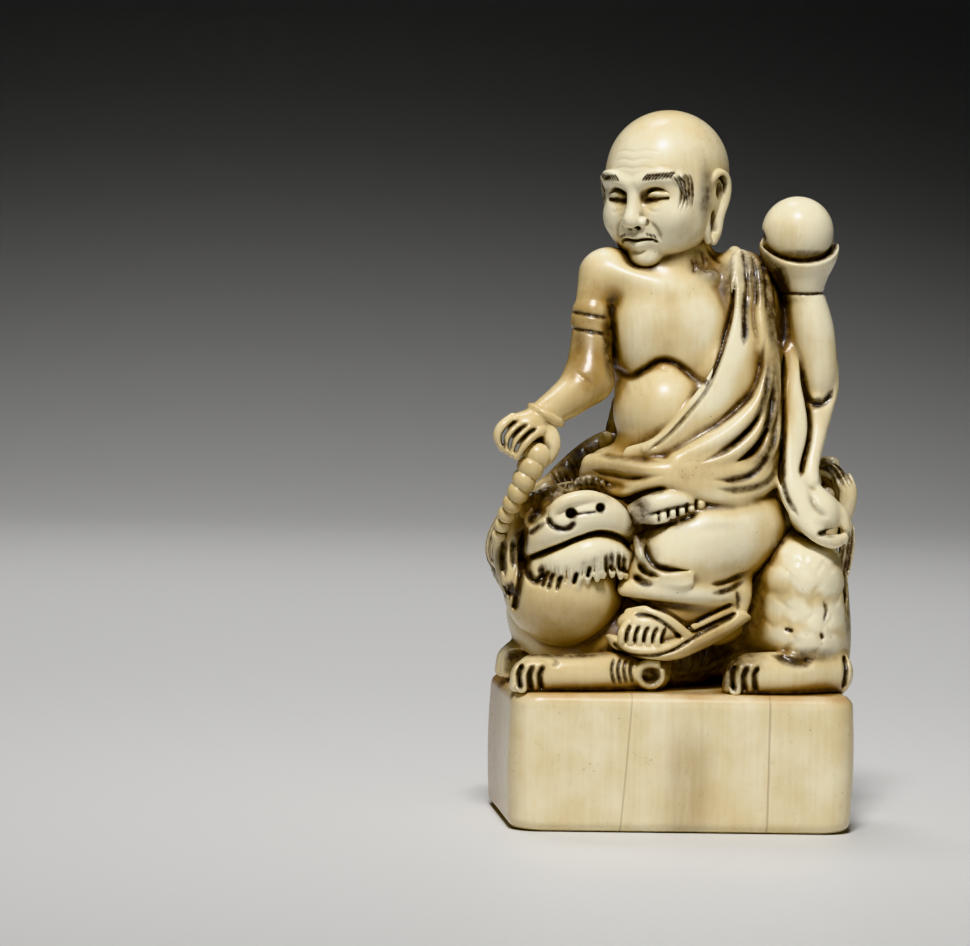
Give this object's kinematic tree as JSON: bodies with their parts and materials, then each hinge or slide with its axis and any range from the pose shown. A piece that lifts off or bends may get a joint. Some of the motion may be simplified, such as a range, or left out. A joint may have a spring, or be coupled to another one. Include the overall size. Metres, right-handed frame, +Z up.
{
  "type": "seal netsuke",
  "caption": "Carved ivory seal netsuke: a bald sage in a one-shouldered robe rides a crouching guardian lion on a rounded seal block and raises a round jewel.",
  "frame": {"origin": "middle of the seal block's flat underside", "axes": "+Z up, the front of the block towards -Y, the lion's head towards -X"},
  "size_m": [0.0366, 0.025, 0.07],
  "materials": {
    "ivory": "polished, stained dark in the recesses"
  },
  "bodies": {
    "root": {"netsuke": "ivory"}
  },
  "joints": []
}
